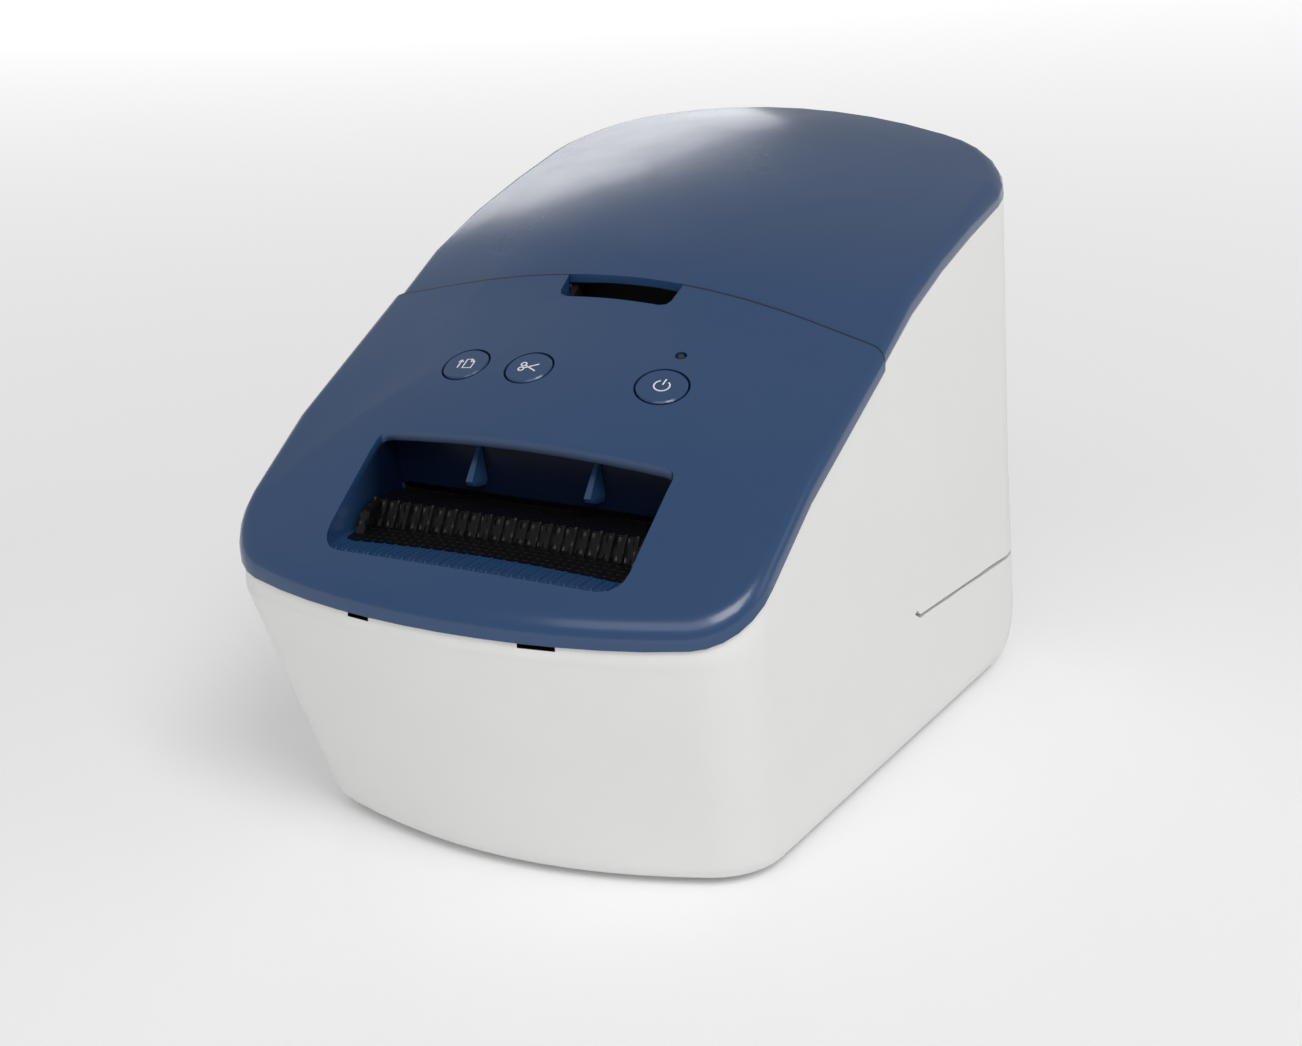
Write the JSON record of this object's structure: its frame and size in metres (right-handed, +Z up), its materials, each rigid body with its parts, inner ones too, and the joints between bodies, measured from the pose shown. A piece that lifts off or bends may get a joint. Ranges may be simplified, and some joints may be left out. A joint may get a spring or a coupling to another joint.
{
  "type": "label maker",
  "caption": "Desktop thermal label printer: white tapered case, blue domed front cover and hinged lid, recessed label outlet, round buttons, with label roll, feed gears, print head and cutter.",
  "frame": {"origin": "middle of the bounding box's footprint, on the desk", "axes": "-Y is the front with the label outlet, +X is the right side seen from the front, +Z is up"},
  "size_m": [0.1254, 0.213, 0.142],
  "materials": {
    "cover_blue": "satin moulded",
    "case_white": "fine moulded texture",
    "dark_plastic": "matte moulded",
    "grey_plastic": "matte moulded",
    "steel": "brushed",
    "aluminium": "satin",
    "rubber": "matte",
    "gear_white": "smooth",
    "board_green": "satin",
    "label_paper": "matte",
    "card_core": "matte",
    "light_pipe": "clear moulded"
  },
  "bodies": {
    "case": {"base_plate": "grey_plastic", "base_screw_front_left": "steel", "base_screw_front_right": "steel", "base_screw_rear_left": "steel", "base_screw_rear_right": "steel", "bush_left": "dark_plastic", "bush_right": "dark_plastic", "button_board": "board_green", "chassis": "steel", "control_panel": "cover_blue", "cut_switch": "dark_plastic", "cutter_motor": "steel", "feed_motor": "steel", "feed_switch": "dark_plastic", "finger_cup": "dark_plastic", "fixed_blade": "steel", "foot_front_left": "rubber", "foot_front_right": "rubber", "foot_rear_left": "rubber", "foot_rear_right": "rubber", "head_pivot_pin": "steel", "head_spring": "steel", "hinge_pin_left": "steel", "hinge_pin_right": "steel", "idler_pin": "steel", "label_guide": "dark_plastic", "main_board": "board_green", "outer_case": "case_white", "power_inlet": "dark_plastic", "power_supply": "grey_plastic", "power_switch": "dark_plastic", "roll_cradle": "grey_plastic", "spool_left": "dark_plastic", "spool_right": "dark_plastic", "status_light": "light_pipe", "usb_socket": "aluminium"},
    "lid": {"lid": "cover_blue"},
    "feed_button": {"feed_button": "cover_blue"},
    "cut_button": {"cut_button": "cover_blue"},
    "power_button": {"power_button": "cover_blue"},
    "roll": {"label_roll": "label_paper", "roll_core": "card_core"},
    "platen": {"platen_roller": "rubber", "platen_shaft": "steel", "platen_gear": "gear_white"},
    "idler": {"idler_gear": "gear_white"},
    "motor_pinion": {"motor_pinion": "gear_white"},
    "head": {"print_head": "dark_plastic", "head_heatsink": "aluminium"},
    "blade": {"moving_blade": "steel"},
    "cutter_pinion": {"cutter_pinion": "gear_white"}
  },
  "joints": [
    {"name": "lid_hinge", "type": "hinge", "parent": "case", "child": "lid", "pos_m": [0, 0.0887, 0.1282], "axis": [-1, 0, 0], "range_deg": [0, 75]},
    {"name": "feed_press", "type": "slide", "parent": "case", "child": "feed_button", "axis": [0.1152, 0.3759, -0.9195], "range_m": [0, 0.001], "stiffness_N_per_m": 200, "springref_m": -0.002},
    {"name": "cut_press", "type": "slide", "parent": "case", "child": "cut_button", "axis": [0.0429, 0.38, -0.924], "range_m": [0, 0.001], "stiffness_N_per_m": 200, "springref_m": -0.002},
    {"name": "power_press", "type": "slide", "parent": "case", "child": "power_button", "axis": [-0.1024, 0.3765, -0.9207], "range_m": [0, 0.001], "stiffness_N_per_m": 200, "springref_m": -0.002},
    {"name": "roll_spin", "type": "hinge", "parent": "case", "child": "roll", "pos_m": [0, 0.04, 0.089], "axis": [1, 0, 0], "continuous": true},
    {"name": "platen_spin", "type": "hinge", "parent": "case", "child": "platen", "pos_m": [0, -0.05, 0.0705], "axis": [1, 0, 0], "continuous": true},
    {"name": "idler_spin", "type": "hinge", "parent": "case", "child": "idler", "pos_m": [0.0485, -0.05, 0.0485], "axis": [1, 0, 0], "continuous": true},
    {"name": "motor_spin", "type": "hinge", "parent": "case", "child": "motor_pinion", "pos_m": [0.0485, -0.05, 0.0325], "axis": [1, 0, 0], "continuous": true},
    {"name": "head_lift", "type": "hinge", "parent": "case", "child": "head", "pos_m": [0, -0.038, 0.0845], "axis": [-1, 0, 0], "range_deg": [0, 6], "stiffness_Nm_per_rad": 0.3, "springref_deg": -11.46},
    {"name": "blade_cut", "type": "slide", "parent": "case", "child": "blade", "axis": [0, 0, -1], "range_m": [0, 0.00754]},
    {"name": "cutter_spin", "type": "hinge", "parent": "case", "child": "cutter_pinion", "pos_m": [-0.04, -0.0523, 0.081], "axis": [1, 0, 0], "range_deg": [0, 90]}
  ],
  "couplings": [
    {"joint": "idler_spin", "follows": "platen_spin", "ratio": -1.2},
    {"joint": "motor_spin", "follows": "platen_spin", "ratio": 2},
    {"joint": "cutter_spin", "follows": "blade_cut", "rad_per_m": 208.33}
  ]
}
